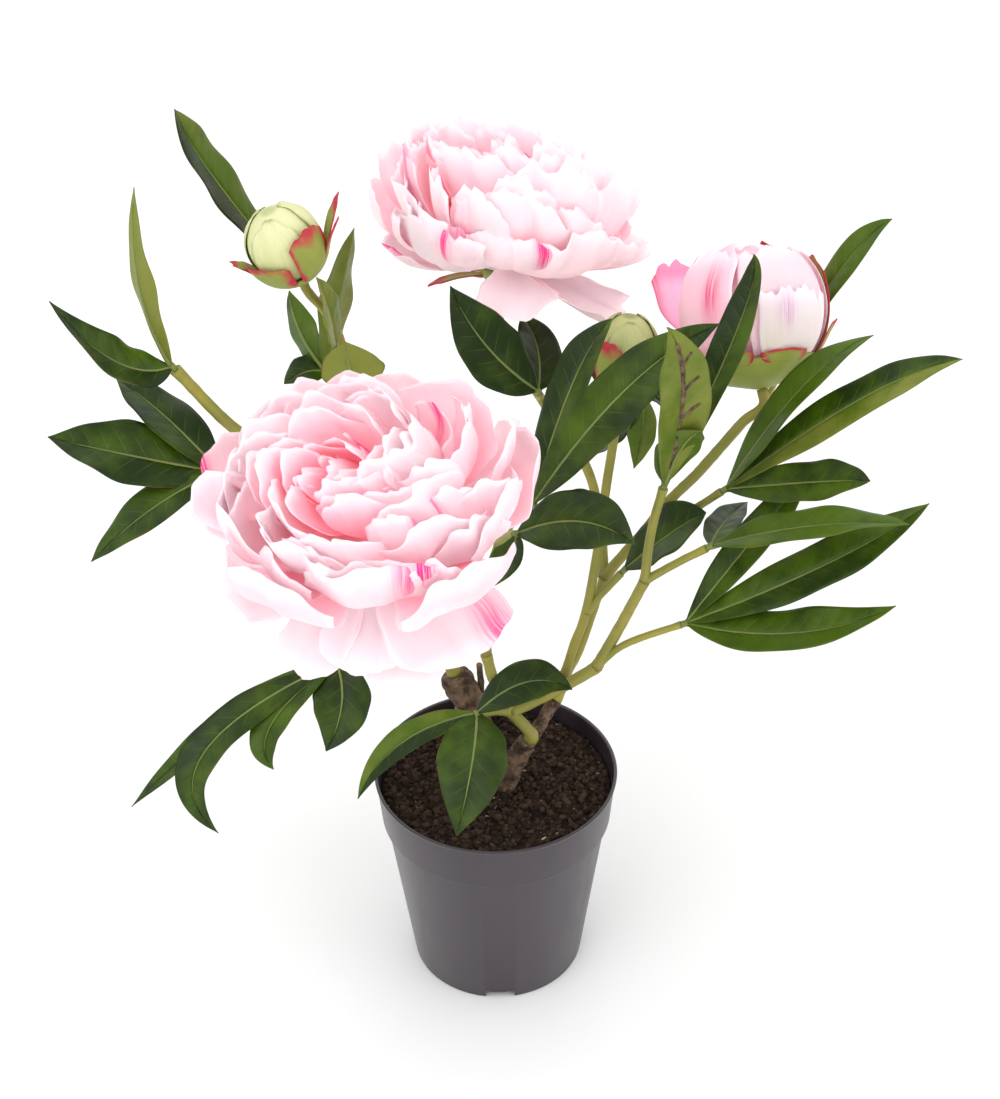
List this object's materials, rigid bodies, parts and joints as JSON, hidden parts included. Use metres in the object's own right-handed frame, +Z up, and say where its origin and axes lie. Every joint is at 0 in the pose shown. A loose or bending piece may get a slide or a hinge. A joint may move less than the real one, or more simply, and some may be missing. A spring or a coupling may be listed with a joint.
{
  "type": "potted peony",
  "caption": "Peony plant in a round plastic nursery pot filled with soil, with open blooms, a half-open bloom, closed buds and divided leaves on branching stems.",
  "frame": {"origin": "centre of the flat face under the pot, which is the middle of the pot's underside", "axes": "+Z up, -Y towards the front that the picture shows, +X to the right seen from the front"},
  "size_m": [0.4323, 0.3572, 0.4713],
  "materials": {
    "pot": "satin",
    "soil": "matte",
    "wood": "matte",
    "stem": "satin",
    "leaf": "matte",
    "calyx": "matte",
    "petal": "matte",
    "petal_half_open": "matte",
    "bud_left": "matte",
    "bud_small": "matte"
  },
  "bodies": {
    "root": {"pot": "pot", "soil": "soil", "wood_front": "wood", "wood_left": "wood", "stems_front": "stem", "stems_back": "stem", "stems_left": "stem", "bloom_front_petals": "petal", "bloom_back_petals": "petal", "bloom_half_open_petals": "petal_half_open", "bud_left_petals": "bud_left", "bud_small_petals": "bud_small", "bloom_front_calyx": "calyx", "bloom_back_calyx": "calyx", "bloom_half_open_calyx": "calyx", "bud_left_sepals": "calyx", "bud_small_sepals": "calyx", "leaf_bud_side": "leaf", "leaf_left_upper": "leaf", "leaf_left_middle": "leaf", "leaf_bud_back": "leaf", "leaf_bud_light": "leaf", "leaf_above_front": "leaf", "leaf_back_middle": "leaf", "leaf_centre_upper": "leaf", "leaf_centre_lower": "leaf", "leaf_right_front": "leaf", "leaf_small_bud": "leaf", "leaf_half_open": "leaf", "leaf_right_upper": "leaf", "leaf_right_middle": "leaf", "leaf_right_back": "leaf", "leaf_right_lower": "leaf", "leaf_low_front": "leaf", "leaf_low_left": "leaf"}
  },
  "joints": []
}
